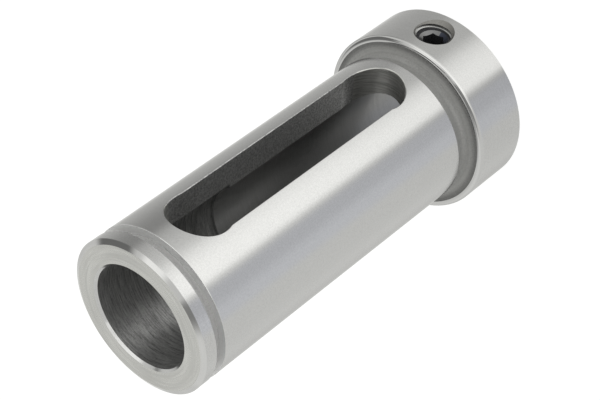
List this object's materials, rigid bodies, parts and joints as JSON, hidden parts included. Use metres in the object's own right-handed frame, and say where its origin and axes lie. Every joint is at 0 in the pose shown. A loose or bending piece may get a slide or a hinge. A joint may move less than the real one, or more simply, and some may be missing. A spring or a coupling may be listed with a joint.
{
  "type": "adapter sleeve",
  "caption": "Reduction sleeve that carries a 20 mm tool shank in a 32 mm holder, clamped by a radial set screw in its head.",
  "frame": {"origin": "centre of the rear face of the head, on the axis of the bore", "axes": "+Z along the bore's axis from the head to the nose, +X towards the slot and the set screw"},
  "size_m": [0.0384, 0.0384, 0.0885],
  "materials": {
    "ground_steel": "ground and turned, satin",
    "blackened_steel": "black oxide, semi-gloss"
  },
  "bodies": {
    "sleeve": {"sleeve": "ground_steel"},
    "screw": {"set_screw": "blackened_steel"}
  },
  "joints": [
    {"name": "screw_advance", "type": "slide", "parent": "sleeve", "child": "screw", "axis": [-1, 0, 0], "range_m": [-0.00125, 0.0025]}
  ]
}
